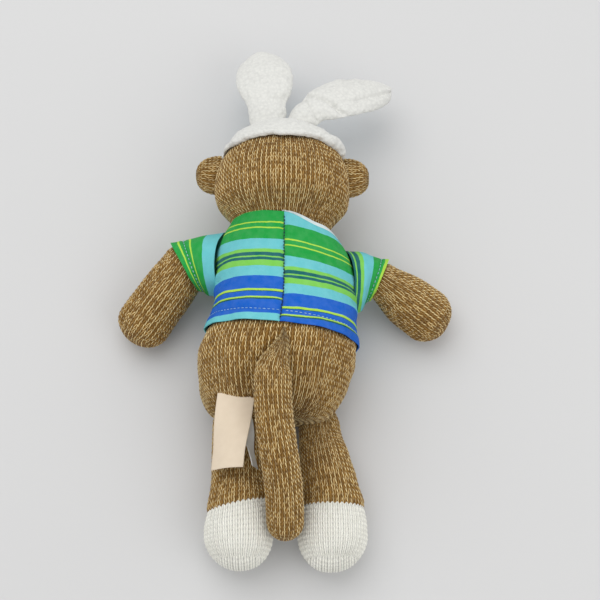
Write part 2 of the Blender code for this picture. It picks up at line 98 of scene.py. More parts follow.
def lumps(p, scale, seed=0):
    """Smooth noise from -1 to 1 with features of about that size."""
    q = p / scale
    cell = np.floor(q).astype(np.int64)
    f = q - cell
    f = f * f * (3 - 2 * f)
    total = 0.0
    for dx in (0, 1):
        for dy in (0, 1):
            for dz in (0, 1):
                weight = (
                    np.abs(1 - dx - f[..., 0]) * np.abs(1 - dy - f[..., 1]) * np.abs(1 - dz - f[..., 2])
                )
                total = total + weight * hashed(
                    cell[..., 0] + dx, cell[..., 1] + dy, cell[..., 2] + dz, seed
                )
    return total * 2 - 1


# ---------------------------------------------------------------- meshes
def grid_normals(P, wrap=True):
    across = np.roll(P, -1, 1) - np.roll(P, 1, 1) if wrap else np.gradient(P, axis=1)
    n = np.cross(across, np.gradient(P, axis=0))
    n /= np.maximum(np.linalg.norm(n, axis=-1, keepdims=True), 1e-9)
    return n


def outward(P, wrap=True):
    n = grid_normals(P, wrap)
    out = P - P.mean(axis=1, keepdims=True) if wrap else P - np.array([0.0, 0.0, 30.0])
    return n if (n * out).sum() >= 0 else -n


def skin(name, P, U, V, material, wrap=True, flip=False):
    """A mesh of the grid's points, with its stitch coordinates in a UV layer. U and V have one column more than P if it wraps."""
    R, C = P.shape[:2]
    wide = C if wrap else C - 1
    U, V = (np.broadcast_to(a, (R, wide + 1)) for a in (U, V))
    i, j = np.meshgrid(np.arange(R - 1), np.arange(wide), indexing="ij")
    k = (j + 1) % C
    quads = np.stack([i * C + j, i * C + k, (i + 1) * C + k, (i + 1) * C + j], -1).reshape(-1, 4)
    uv = np.stack(
        [np.stack([a[i, j], a[i, j + 1], a[i + 1, j + 1], a[i + 1, j]], -1) for a in (U, V)], -1
    ).reshape(-1, 4, 2)
    n = grid_normals(P, wrap)
    out = P - P.mean(axis=1, keepdims=True) if wrap else P - np.array([0.0, 0.0, 30.0])
    if ((n * out).sum() < 0) != flip:
        quads, uv = quads[:, ::-1], uv[:, ::-1]
    mesh = bpy.data.meshes.new(name)
    mesh.from_pydata((P.reshape(-1, 3) / 1000.0).tolist(), [], quads.tolist())
    layer = mesh.uv_layers.new(name="stitch")
    layer.data.foreach_set("uv", np.ascontiguousarray(uv, np.float32).ravel())
    bm = bmesh.new()
    bm.from_mesh(mesh)
    bmesh.ops.remove_doubles(bm, verts=bm.verts, dist=2e-6)
    bm.to_mesh(mesh)
    bm.free()
    mesh.polygons.foreach_set("use_smooth", [True] * len(mesh.polygons))
    mesh.materials.append(material)
    obj = bpy.data.objects.new(name, mesh)
    SCENE.collection.objects.link(obj)
    return obj


def join(name, objs):
    """One object of several meshes that share a material list."""
    bm = bmesh.new()
    for o in objs:
        bm.from_mesh(o.data)
    mesh = objs[0].data
    bm.to_mesh(mesh)
    bm.free()
    for o in objs[1:]:
        bpy.data.objects.remove(o, do_unlink=True)
    objs[0].name = name
    mesh.polygons.foreach_set("use_smooth", [True] * len(mesh.polygons))
    return objs[0]


def knit_height(U, V):
    """Height of a stockinette surface from 0 to 1: each stitch is a V of two legs."""
    leg = 2 * np.abs(U - np.floor(U) - 0.5)
    fv = V + 0.75 * leg
    fv = fv - np.floor(fv)
    return np.sin(np.pi * leg) ** 0.8 * (0.3 + 0.7 * np.sin(np.pi * fv) ** 0.7)


def close_end(P, U, V, wales, course, share=0.74):
    """Stitch coordinates that run straight across a tube's rounded end, as the last courses of a toe do."""
    rows = np.linalg.norm(P - P.mean(axis=1, keepdims=True), axis=-1).mean(axis=1)
    full = rows[len(rows) // 2 :].max()
    k = len(rows) - 1
    while rows[k] < share * full:
        k -= 1
    first, second = (P[k, j] - P[k].mean(axis=0) for j in (0, P.shape[1] // 4))
    first, second = (v / np.linalg.norm(v) for v in (first, second))
    Q = np.concatenate([P[: k + 1], P[k:]])
    around = P[k:][:, np.r_[0 : P.shape[1], 0]] - P[k].mean(axis=0)
    Uo = np.concatenate([U[: k + 1], around @ first / (2 * np.pi * full / wales)])
    Vo = np.concatenate([V[: k + 1], around @ second / course])
    return Q, Uo, Vo, k


def knit_tube(name, P, wales, course, material, relief=0.5, soft=0.7, seed=1, start=0.0, squash_floor=True, end=False):
    """A knitted tube: P is (rows, columns, 3), columns go round. Returns the object."""
    R, C = P.shape[:2]
    step = np.linalg.norm(np.diff(P, axis=0), axis=-1).mean(axis=1)
    V = start + np.concatenate([[0.0], np.cumsum(step)]) / course
    U = np.linspace(0.0, wales, C + 1)
    U, V = (np.array(np.broadcast_to(v, (R, C + 1))) for v in (U[None, :], V[:, None]))
    n = outward(P)
    rows = np.linalg.norm(P - P.mean(axis=1, keepdims=True), axis=-1).mean(axis=1)
    if end:
        _, Ue, Ve, k = close_end(P, U, V, wales, course)
        keep = np.r_[0 : k + 1, k + 2 : R + 1]
        h = relief * (knit_height(Ue[keep, :-1], Ve[keep, :-1]) - 0.5)
    else:
        h = relief * (knit_height(U[:, :-1], V[:, :-1]) - 0.5)
    h = h + soft * lumps(P, 17.0, seed) + 0.4 * soft * lumps(P, 7.0, seed + 5)
    h = h * smooth(0.3, 4.0, rows)[:, None]
    Q = P + n * h[..., None]
    if squash_floor:
        Q[..., 2] = np.maximum(Q[..., 2], 0.15)
    if end:
        Q, U, V = np.concatenate([Q[: k + 1], Q[k:]]), Ue, Ve
    return skin(name, Q, U, V, material)


def tube_along(centres, radii, columns, up=(0.0, 0.0, 1.0), flat=None):
    """Rings of a tube along a line of centres. radii is (rows,) or (rows, 2) for across and up."""
    centres = np.asarray(centres, float)
    radii = np.asarray(radii, float)
    if radii.ndim == 1:
        radii = np.stack([radii, radii], -1)
    ahead = np.gradient(centres, axis=0)
    ahead /= np.maximum(np.linalg.norm(ahead, axis=-1, keepdims=True), 1e-9)
    across = np.cross(ahead, np.asarray(up, float))
    across /= np.linalg.norm(across, axis=-1, keepdims=True)
    above = np.cross(across, ahead)
    a = np.linspace(0, 2 * np.pi, columns, endpoint=False)
    return (
        centres[:, None, :]
        + radii[:, 0][:, None, None] * np.cos(a)[None, :, None] * across[:, None, :]
        + radii[:, 1][:, None, None] * np.sin(a)[None, :, None] * above[:, None, :]
    )


# ---------------------------------------------------------------- materials
class Paint:
    """A node material, built up with short calls. Values that don't change are set on the sockets."""

    def __init__(self, name):
        self.mat = bpy.data.materials.new(name)
        self.mat.use_nodes = True
        self.tree = self.mat.node_tree
        self.shader = next(n for n in self.tree.nodes if n.type == "BSDF_PRINCIPLED")

    def feed(self, socket, value):
        if isinstance(value, bpy.types.NodeSocket):
            self.tree.links.new(value, socket)
        elif hasattr(value, "__len__") and len(value) == 3 and socket.type == "RGBA":
            socket.default_value = (*value, 1.0)
        else:
            socket.default_value = value

    def math(self, op, a, b=None, c=None):
        node = self.tree.nodes.new("ShaderNodeMath")
        node.operation = op
        for socket, value in zip(node.inputs, (a, b, c)):
            if value is not None:
                self.feed(socket, value)
        return node.outputs[0]

    def uv(self):
        node = self.tree.nodes.new("ShaderNodeUVMap")
        node.uv_map = "stitch"
        split = self.tree.nodes.new("ShaderNodeSeparateXYZ")
        self.tree.links.new(node.outputs[0], split.inputs[0])
        return node.outputs[0], split.outputs[0], split.outputs[1]

    def place(self):
        """Where the point is on the piece, in the piece's own space."""
        return self.tree.nodes.new("ShaderNodeTexCoord").outputs["Object"]

    def vector(self, x, y, z=0.0):
        node = self.tree.nodes.new("ShaderNodeCombineXYZ")
        for socket, value in zip(node.inputs, (x, y, z)):
            self.feed(socket, value)
        return node.outputs[0]

    def noise(self, where, scale, detail=2.0, rough=0.5):
        node = self.tree.nodes.new("ShaderNodeTexNoise")
        self.feed(node.inputs["Vector"], where)
        node.inputs["Scale"].default_value = scale
        node.inputs["Detail"].default_value = detail
        node.inputs["Roughness"].default_value = rough
        return node.outputs[0]

    def random(self, where):
        node = self.tree.nodes.new("ShaderNodeTexWhiteNoise")
        node.noise_dimensions = "3D"
        self.feed(node.inputs["Vector"], where)
        return node.outputs[0]

    def cells(self, where, scale):
        node = self.tree.nodes.new("ShaderNodeTexVoronoi")
        self.feed(node.inputs["Vector"], where)
        node.inputs["Scale"].default_value = scale
        return node.outputs["Distance"]

    def ramp(self, value, stops, how="LINEAR"):
        node = self.tree.nodes.new("ShaderNodeValToRGB")
        node.color_ramp.interpolation = how
        line = node.color_ramp.elements
        while len(line) > 1:
            line.remove(line[-1])
        for k, (at, colour) in enumerate(stops):
            spot = line[0] if k == 0 else line.new(at)
            spot.position = at
            spot.color = (*colour, 1.0) if hasattr(colour, "__len__") else (colour, colour, colour, 1.0)
        self.feed(node.inputs[0], value)
        return node.outputs[0]

    def mix(self, share, a, b, how="MIX"):
        node = self.tree.nodes.new("ShaderNodeMix")
        node.data_type = "RGBA"
        node.blend_type = how
        self.feed(node.inputs[0], share)
        self.feed(node.inputs[6], a)
        self.feed(node.inputs[7], b)
        return node.outputs[2]

    def finish(self, colour, height, depth_mm, rough, sheen=0.0, specular=0.2, strength=1.0):
        self.feed(self.shader.inputs["Base Color"], colour)
        self.feed(self.shader.inputs["Roughness"], rough)
        self.shader.inputs["Specular IOR Level"].default_value = specular
        if sheen:
            self.shader.inputs["Sheen Weight"].default_value = sheen
            self.shader.inputs["Sheen Roughness"].default_value = 0.6
        node = self.tree.nodes.new("ShaderNodeBump")
        node.inputs["Strength"].default_value = strength
        node.inputs["Distance"].default_value = depth_mm / 1000.0
        self.feed(node.inputs["Height"], height)
        self.tree.links.new(node.outputs[0], self.shader.inputs["Normal"])
        return self.mat


def srgb(r, g, b):
    return tuple(
        c / 12.92 if c <= 0.04045 else ((c + 0.055) / 1.055) ** 2.4 for c in (r / 255, g / 255, b / 255)
    )


def knit_nodes(p, slant=0.75):
    """Stitch leg, height and a random number per leg, from the stitch coordinates."""
    where, u, v = p.uv()
    wobble = p.noise(where, 0.9, 2.0)
    u = p.math("ADD", u, p.math("MULTIPLY", p.math("SUBTRACT", wobble, 0.5), 0.16))
    v = p.math("ADD", v, p.math("MULTIPLY", p.math("SUBTRACT", wobble, 0.5), 0.3))
    fu = p.math("SUBTRACT", p.math("FRACT", u), 0.5)
    leg = p.math("MULTIPLY", p.math("ABSOLUTE", fu), 2.0)
    along = p.math("ADD", v, p.math("MULTIPLY", leg, slant))
    fv = p.math("FRACT", along)
    side = p.math("GREATER_THAN", fu, 0.0)
    cell = p.vector(
        p.math("ADD", p.math("MULTIPLY", p.math("FLOOR", u), 2.0), side), p.math("FLOOR", along), 0.0
    )
    rope = p.math("SINE", p.math("MULTIPLY", leg, math.pi))
    round_ = p.math("POWER", p.math("MAXIMUM", p.math("SINE", p.math("MULTIPLY", fv, math.pi)), 0.0), 0.7)
    height = p.math(
        "MULTIPLY",
        p.math("POWER", p.math("MAXIMUM", rope, 0.0), 0.8),
        p.math("ADD", p.math("MULTIPLY", round_, 0.7), 0.3),
    )
    return where, leg, fv, cell, height, side


def fuzz(p, scale=900.0):
    return p.noise(p.place(), scale, 3.0, 0.7)


def marl_paint(name, dark, mid, light, share=0.56):
    """Marled yarn: a brown and a cream ply twisted together, so that each stitch leg shows a streak of one or the other."""
    p = Paint(name)
    where, leg, fv, cell, height, side = knit_nodes(p)
    chance = p.random(cell)
    fibre = fuzz(p)
    twist = p.math("SINE", p.math("MULTIPLY", p.math("ADD", fv, chance), 2 * math.pi))
    patch = p.noise(where, 0.6, 2.0)
    near = p.math("ABSOLUTE", p.math("SUBTRACT", leg, p.math("ADD", p.math("SUBTRACT", 0.84, p.math("MULTIPLY", fv, 0.62)), p.math("MULTIPLY", twist, 0.06))))
    streak = p.ramp(near, [(0.08, 1.0), (0.23, 0.0)])
    # The cream ply runs up one leg of each wale, with gaps where the brown lies on top.
    on = p.math("SUBTRACT", 1.0, side)
    luck = p.ramp(p.math("ADD", chance, p.math("MULTIPLY", p.math("SUBTRACT", patch, 0.5), 0.6)), [(share - 0.2, 0.36), (share + 0.1, 1.0)])
    stray = p.ramp(chance, [(0.55, 0.1), (0.85, 0.8)])
    shown = p.math("MAXIMUM", p.math("MULTIPLY", on, luck), stray)
    ends = p.ramp(fv, [(0.0, 0.0), (0.2, 1.0), (0.8, 1.0), (1.0, 0.0)])
    pale = p.math("MULTIPLY", p.math("MULTIPLY", streak, shown), ends)
    brown = p.mix(p.ramp(p.math("ADD", p.math("MULTIPLY", fibre, 0.7), p.math("MULTIPLY", chance, 0.3)), [(0.3, 0.0), (0.7, 1.0)]), dark, mid)
    colour = p.mix(p.math("MULTIPLY", pale, 0.9), brown, light)
    # Painted shade: the colour is darkened where the knit surface is low, in the hollows between the stitch legs.
    deep = p.ramp(height, [(0.0, 0.5), (0.4, 0.95), (1.0, 1.0)])
    colour = p.mix(1.0, colour, deep, "MULTIPLY")
    relief = p.math("ADD", height, p.math("MULTIPLY", fibre, 0.35))
    rough = p.ramp(fibre, [(0.3, 0.82), (0.7, 0.98)])
    return p.finish(colour, relief, 0.5, rough, sheen=0.1, specular=0.1)


def plain_knit(name, light, shade, hole_shade=False):
    """Plain pale knit. Painted shade darkens the hollows between its stitches, and can add a row of small dark gaps
    between them.
    """
    p = Paint(name)
    where, leg, fv, cell, height, side = knit_nodes(p)
    fibre = fuzz(p)
    chance = p.random(cell)
    base = p.mix(p.math("ADD", p.math("MULTIPLY", chance, 0.45), p.math("MULTIPLY", fibre, 0.4)), light, shade)
    # Painted shade: the colour is darkened where the knit surface is low, between the stitch legs.
    deep = p.ramp(height, [(0.0, 0.52 if hole_shade else 0.66), (0.28, 0.88), (0.7, 1.0)])
    colour = p.mix(1.0, base, deep, "MULTIPLY")
    if hole_shade:
        # Painted shade: small dark dots where the stitches part, darkest at the middle of each gap.
        gap = p.math("MULTIPLY", p.math("SUBTRACT", 1.0, leg), 0.5)
        rise = p.math("SUBTRACT", fv, 0.5)
        apart = p.math("ADD", p.math("MULTIPLY", gap, gap), p.math("MULTIPLY", rise, rise))
        colour = p.mix(1.0, colour, p.ramp(apart, [(0.02, 0.78), (0.08, 1.0)]), "MULTIPLY")
    relief = p.math("ADD", height, p.math("MULTIPLY", fibre, 0.3))
    rough = p.ramp(fibre, [(0.3, 0.8), (0.7, 0.97)])
    return p.finish(colour, relief, 0.6, rough, sheen=0.15, specular=0.12)


def fleece_paint(name, light, shade):
    p = Paint(name)
    spot = p.place()
    tufts = p.cells(spot, 520.0)
    curls = p.noise(spot, 750.0, 4.0, 0.7)
    broad = p.noise(spot, 70.0, 3.0)
    # Partly painted shade: the colour darkens towards the edges of the tufts, where their relief is lowest. The curls
    # and broad noise add random tone.
    tuft_shade_and_tone = p.math("ADD", p.math("MULTIPLY", tufts, 0.6), p.math("ADD", p.math("MULTIPLY", curls, 0.35), p.math("MULTIPLY", broad, 0.3)))
    colour = p.mix(p.ramp(tuft_shade_and_tone, [(0.3, 0.0), (0.95, 1.0)]), light, shade)
    relief = p.math("ADD", p.math("MULTIPLY", tufts, -1.0), p.math("MULTIPLY", curls, 0.8))
    rough = p.ramp(curls, [(0.3, 0.85), (0.7, 1.0)])
    return p.finish(colour, relief, 0.4, rough, sheen=0.2, specular=0.1)


def woven(p, scale_u, scale_v, where_u, where_v):
    """Height of a fine plain weave."""
    a = p.math("SINE", p.math("MULTIPLY", where_u, scale_u))
    b = p.math("SINE", p.math("MULTIPLY", where_v, scale_v))
    return p.math("ADD", p.math("MULTIPLY", p.math("MULTIPLY", a, b), 0.5), 0.5)


GREEN, AQUA, LIME = srgb(22, 168, 66), srgb(112, 208, 216), srgb(130, 214, 84)
FACING_WHITE = srgb(226, 234, 238)
TEAL, BLUE, YELLOW = srgb(6, 104, 106), srgb(0, 98, 208), srgb(184, 232, 70)
PINE = srgb(8, 92, 84)
# Stripes from the collar to the hem along the back, in millimetres.
STRIPES = (
    (-24.0, LIME), (-22.0, TEAL), (-20.4, LIME), (-18.0, AQUA), (-2.4, GREEN), (5.4, YELLOW), (6.2, GREEN),
    (8.6, YELLOW), (9.4, GREEN), (15.2, AQUA), (20.9, LIME), (23.1, TEAL), (24.8, LIME), (25.9, TEAL), (27.5, LIME),
    (30.3, AQUA), (35.8, BLUE), (43.0, YELLOW), (44.0, PINE), (44.6, BLUE),
    (47.2, YELLOW), (48.1, PINE), (48.7, BLUE), (56.2, AQUA),
    (61.5, LIME), (63.5, TEAL), (65.0, LIME), (67.0, AQUA), (72.0, GREEN),
)


SLEEVE_LEFT = ((0.0, GREEN), (2.3, YELLOW), (3.1, GREEN), (6.9, YELLOW), (7.7, GREEN), (13.5, AQUA), (21.0, FACING_WHITE))
SLEEVE_RIGHT = (
    (0.0, YELLOW), (1.0, GREEN), (6.6, AQUA), (12.4, LIME), (14.6, TEAL), (16.2, LIME), (17.3, TEAL), (18.9, LIME),
)


def stripe_paint(name, stripes=STRIPES):
    """Printed stripes: V of the stitch coordinates is the place in the stripes, U runs along them, both in millimetres."""
    p = Paint(name)
    where, u, v = p.uv()
    wave = p.noise(where, 0.12, 2.0)
    edge = p.noise(where, 2.2, 2.0)
    at = p.math("ADD", v, p.math("ADD", p.math("MULTIPLY", p.math("SUBTRACT", wave, 0.5), 0.9), p.math("MULTIPLY", p.math("SUBTRACT", edge, 0.5), 0.25)))
    share = p.math("DIVIDE", p.math("ADD", at, 26.0), 100.0)
    colour = p.ramp(share, [((s + 26.0) / 100.0, c) for s, c in stripes], "CONSTANT")
    threads = woven(p, 2 * math.pi / 0.42, 2 * math.pi / 0.42, u, v)
    fade = p.noise(where, 0.22, 3.0)
    colour = p.mix(0.05, colour, p.ramp(fade, [(0.3, (0.02, 0.09, 0.12)), (0.7, (0.8, 0.9, 0.92))]))
    # Painted shade: the print is darkened where the weave's threads are low.
    colour = p.mix(1.0, colour, p.ramp(threads, [(0.0, 0.86), (1.0, 1.0)]), "MULTIPLY")
    relief = p.math("ADD", p.math("MULTIPLY", threads, 0.25), p.noise(where, 0.45, 3.0))
    rough = p.ramp(fade, [(0.3, 0.56), (0.7, 0.74)])
    return p.finish(colour, relief, 0.45, rough, specular=0.16)


def cloth_paint(name, light, shade, rough_from=0.5, rough_to=0.7, pitch=0.4, depth=0.2, spec=0.3):
    p = Paint(name)
    where, u, v = p.uv()
    threads = woven(p, 2 * math.pi / pitch, 2 * math.pi / pitch, u, v)
    cloud = p.noise(where, 0.25, 3.0)
    colour = p.mix(p.math("ADD", p.math("MULTIPLY", threads, 0.35), p.math("MULTIPLY", cloud, 0.5)), light, shade)
    relief = p.math("ADD", p.math("MULTIPLY", threads, 0.4), cloud)
    rough = p.ramp(cloud, [(0.3, rough_from), (0.7, rough_to)])
    return p.finish(colour, relief, depth, rough, specular=spec)


def thread_paint(name, light, shade, pitch=600.0):
    """Twisted sewing thread."""
    p = Paint(name)
    spot = p.place()
    twist = p.noise(spot, pitch, 2.0)
    colour = p.mix(p.ramp(twist, [(0.35, 0.0), (0.65, 1.0)]), light, shade)
    rough = p.ramp(twist, [(0.3, 0.55), (0.7, 0.8)])
    return p.finish(colour, twist, 0.15, rough, specular=0.3)


def plastic_paint(name, light, shade, low, high):
    p = Paint(name)
    spot = p.place()
    cloud = p.noise(spot, 220.0, 3.0)
    scuff = p.noise(spot, 1400.0, 4.0)
    colour = p.mix(cloud, light, shade)
    rough = p.ramp(scuff, [(0.35, low), (0.7, high)])
    return p.finish(colour, scuff, 0.03, rough, specular=0.5)


MARL = marl_paint("brown_marl", srgb(106, 71, 20), srgb(160, 117, 46), srgb(255, 236, 182), 0.28)
TOE = plain_knit("toe_knit", srgb(254, 253, 244), srgb(240, 238, 226), hole_shade=True)
FACE = plain_knit("muzzle_knit", srgb(232, 219, 192), srgb(200, 184, 150))
FLEECE = fleece_paint("white_fleece", srgb(222, 222, 217), srgb(206, 206, 202))
LINING = cloth_paint("ear_lining", srgb(168, 214, 236), srgb(132, 190, 220), 0.6, 0.8)
SHIRT = stripe_paint("striped_print")
SLEEVES = {-1: stripe_paint("striped_print_left", SLEEVE_LEFT), 1: stripe_paint("striped_print_right", SLEEVE_RIGHT)}
FACING = cloth_paint("neck_facing", srgb(240, 246, 246), srgb(205, 220, 224), 0.6, 0.8)
SATIN = cloth_paint("label_satin", srgb(232, 216, 194), srgb(214, 196, 170), 0.3, 0.5, 0.3, 0.12, 0.45)
TAPE = cloth_paint("label_tape", srgb(232, 232, 228), srgb(210, 210, 204), 0.4, 0.6, 0.3, 0.12, 0.4)
NAVY = thread_paint("navy_thread", srgb(18, 30, 52), srgb(44, 66, 92))
PALE = thread_paint("pale_thread", srgb(176, 208, 226), srgb(120, 168, 204))
BROWN = thread_paint("brown_thread", srgb(70, 44, 18), srgb(110, 76, 36))
MOUTH = thread_paint("mouth_thread", srgb(120, 36, 34), srgb(160, 60, 52))
EYE = plastic_paint("eye_plastic", srgb(10, 9, 9), srgb(26, 22, 20), 0.08, 0.22)
WASHER = plastic_paint("washer_plastic", srgb(225, 224, 218), srgb(204, 202, 196), 0.35, 0.5)

# ---------------------------------------------------------------- torso
WIDTHS = ((-58, 48.0), (-25, 45.5), (0, 42.0), (22, 42.0), (34, 39.5), (46, 30.5), (60, 25.0))
HEIGHTS = ((-58, 33.0), (-25, 37.3), (0, 34.5), (22, 32.5), (44, 30.3), (60, 27.0))
MIDS = ((-58, 26.0), (-25, 31.5), (0, 32.0), (22, 34.0), (44, 38.0), (60, 39.0))


def torso_point(py, angle, grow=0.0):
    y = 2 + 58 * py
    ring = np.sqrt(np.maximum(1 - py * py, 0.0))
    bulge = ring**0.6
    c, s = np.cos(angle), np.sin(angle)
    full = ring ** (0.6 - 0.33 * smooth(-12, -34, y) * smooth(0.1, -0.5, c))
    wide = stations(WIDTHS, y) * full + grow * ring**0.3
    high = stations(HEIGHTS, y) * bulge + grow * ring**0.3
    x = wide * np.copysign(np.abs(c) ** 0.92, c)
    z = stations(MIDS, y) + high * np.copysign(np.abs(s) ** 0.92, s)
    y = y + grow * py - 0.15 * x * smooth(-20, 40, y)
    return np.stack(np.broadcast_arrays(x - 4 * smooth(-10, 35, -y), y, np.maximum(z, 1.0 - grow)), -1)


def build_torso():
    wales, columns = 92, 92 * 4
    u = np.linspace(-1, 1, 300)
    py = np.sin(u * np.pi / 2)[:, None]
    angle = np.linspace(0, 2 * np.pi, columns, endpoint=False)[None, :] - np.pi / 2
    P = torso_point(py, angle, -0.2)
    x, y, z = P[..., 0], P[..., 1], P[..., 2]
    top = smooth(30, 62, z)
    under = smooth(-12, -28, y)
    # The seat: two soft cheeks, and a hollow with a crease each side of the tail.
    mid = x + 4 * smooth(-10, 35, -y)
    P[..., 2] += under * top * (2.2 * bump(mid, 24, 15) + 2.2 * bump(mid, -24, 15) - 2.6 * bump(mid, 0, 12))
    P[..., 2] -= under * top * (1.6 * bump(mid, 13.5, 2.2) + 1.6 * bump(mid, -13.5, 2.2))
    # The right cheek hangs a little over the top of the leg.
    low = smooth(-30, -54, y)
    P[..., 1] -= low * (4.6 * bump(x, 22, 16) + 1.5 * bump(x, -28, 14))
    # Under the shirt the body is drawn in, so that the cloth lies clear of it.
    edge = -13.5 - 0.1 * x
    P[..., 0] *= 1 - 0.045 * smooth(edge - 12, edge - 1, y) - 0.075 * smooth(edge - 1, edge + 8, y)
    P[..., 2] -= 2.8 * smooth(edge - 4, edge + 5, y) * smooth(25, 50, P[..., 2])
    return knit_tube("torso_knit", P, wales, 2.5, MARL, 0.55, 0.9, 3)


torso = build_torso()
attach(torso, "torso")
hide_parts("torso_skin", "torso_stuffing")


# ---------------------------------------------------------------- head
HEAD_C, HEAD_R = np.array([-1.0, 69.0, 44.0]), np.array([37.0, 35.5, 34.0])


def head_point(y, angle, grow=0.0):
    py = np.clip((y - HEAD_C[1]) / (HEAD_R[1] + grow), -1, 1)
    e = np.sqrt(np.maximum(1 - py * py, 0))
    rx = (HEAD_R[0] + grow) * e * (1 - 0.12 * smooth(60, 47, y))
    rz = (HEAD_R[2] + grow) * e * (1 - 0.25 * smooth(62, 48, y))
    cz = HEAD_C[2] - 2.5 * smooth(60, 46, y)
    return np.stack(
        np.broadcast_arrays(HEAD_C[0] + rx * np.cos(angle), y, cz + rz * np.sin(angle)), -1
    )


def build_head():
    wales, columns = 86, 86 * 4
    y = np.concatenate([[39.0], HEAD_C[1] + HEAD_R[1] * np.sin(np.linspace(math.asin(-0.84), np.pi / 2, 190))])[:, None]
    angle = np.linspace(0, 2 * np.pi, columns, endpoint=False)[None, :] - np.pi / 2
    P = head_point(y, angle)
    P[0] = P[1].mean(axis=0)
    x, z = P[..., 0], P[..., 2]
    back = smooth(48, 66, z)
    P[..., 2] -= back * 0.8 * bump(x, HEAD_C[0] + 1.0, 1.3)
    P[..., 2] += back * 1.2 * (bump(x, 18, 14) + bump(x, -19, 14)) * smooth(44, 60, P[..., 1])
    return knit_tube("head_knit", P, wales, 2.5, MARL, 0.55, 0.8, 11)


head = build_head()
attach(head, "head")
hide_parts("head_skin", "head_stuffing")


def build_monkey_ear(side, sign):
    centre = np.array([HEAD_C[0] + sign * 38.5 + (2.6 if sign < 0 else -3.2), 78.2 if sign < 0 else 76.4, 43.0])
    u = np.linspace(-1, 1, 60)
    px = np.sin(u * np.pi / 2)[:, None]
    angle = np.linspace(0, 2 * np.pi, 26 * 4, endpoint=False)[None, :]
    ring = np.sqrt(np.maximum(1 - px * px, 0)) ** 0.85
    x = centre[0] + sign * 12.0 * px * np.ones_like(angle)
    y = centre[1] + 11.4 * ring * np.cos(angle)
    z = centre[2] + 5.6 * ring * np.sin(angle)
    # The rim is fuller than the middle, as on a gathered round ear.
    rim = smooth(0.15, 0.85, px) * np.ones_like(angle)
    z = centre[2] + (z - centre[2]) * (0.85 + 0.35 * rim)
    P = np.stack(np.broadcast_arrays(x, y, z), -1)
    ear = knit_tube("monkey_ear_" + side, P, 26, 2.2, MARL, 0.45, 0.5, 21)
    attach(ear, "head")
    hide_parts("ear_" + side)


build_monkey_ear("left", -1)
build_monkey_ear("right", 1)


def build_muzzle():
    u = np.linspace(-1, 1, 80)
    pz = np.sin(u * np.pi / 2)[:, None]
    angle = np.linspace(0, 2 * np.pi, 48 * 4, endpoint=False)[None, :]
    ring = np.sqrt(np.maximum(1 - pz * pz, 0))
    P = np.stack(
        np.broadcast_arrays(24.0 * ring * np.cos(angle), 60 + 14.0 * ring * np.sin(angle), 14.6 + 13.9 * pz), -1
    )
    muzzle = knit_tube("muzzle_knit_piece", P, 48, 2.4, FACE, 0.3, 0.15, 31)
    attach(muzzle, "head")
    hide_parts("muzzle_skin", "muzzle_stuffing")


build_muzzle()


# ---------------------------------------------------------------- fleece cap and rabbit ears
def fleece_relief(P, n, amount=1.0, seed=0):
    h = 0.55 * lumps(P, 2.1, seed) + 0.75 * lumps(P, 5.0, seed + 1) + 0.8 * lumps(P, 13.0, seed + 2)
    return P + n * (amount * h)[..., None]


def build_cap():
    columns = 300
    angle = np.linspace(0, 2 * np.pi, columns, endpoint=False)[None, :]
    rows = []
    # Rows go up inside from the brim, round its rolled edge and over the crown.
    profile = [(6.0, 0.6), (3.0, 0.6), (1.0, 1.0)]
    profile += [(2.2 - 2.6 * math.cos(a), 2.8 - 2.6 * math.cos(a + 1.2)) for a in np.linspace(-0.9, 1.6, 12)]
    top = HEAD_C[1] + HEAD_R[1]
    base = 87.0
    for along, off in profile:
        rows.append(head_point(np.full_like(angle, base + along), angle, 0.4 + (off - 0.6) * (0.28 + 0.5 * smooth(0.0, 0.85, np.sin(angle)))))
    for y in np.linspace(base + 3.2, top + 3.9, 90)[1:]:
        low = smooth(base + 12, base + 2, y)
        rows.append(head_point(np.full_like(angle, y), angle, 3.9 - 0.7 * low - 1.7 * low * (1 - smooth(0.0, 0.85, np.sin(angle)))))
    P = np.stack([r[0] for r in rows])
    P[-1] = P[-1].mean(axis=0)
    P[..., 1] += 0.06 * (P[..., 2] - 44) * smooth(110, 86, P[..., 1])
    P[..., 1] += 0.9 * lumps(P, 7.0, 43) * smooth(96, 86, P[..., 1])
    # A puffy end of the rolled brim, on the right.
    end = bump(P[..., 1], 90, 5.0) * bump(P[..., 0], 30, 7.0) * smooth(40, 56, P[..., 2])
    n = outward(P)
    P = P + n * (2.2 * end)[..., None]
    P[3:] = fleece_relief(P, n, 0.7, 41)[3:]
    U = np.linspace(0, 200, columns + 1)[None, :]
    V = np.arange(len(P), dtype=float)[:, None]
    cap = skin("cap_fleece", P, U, V, FLEECE)
    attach(cap, "head")
    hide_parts("fleece_cap")
    return cap


cap = build_cap()


def ear_line(root, bend, tip, t):
    t = t[:, None]
    return root * (1 - t) ** 2 + bend * 2 * t * (1 - t) + tip * t**2


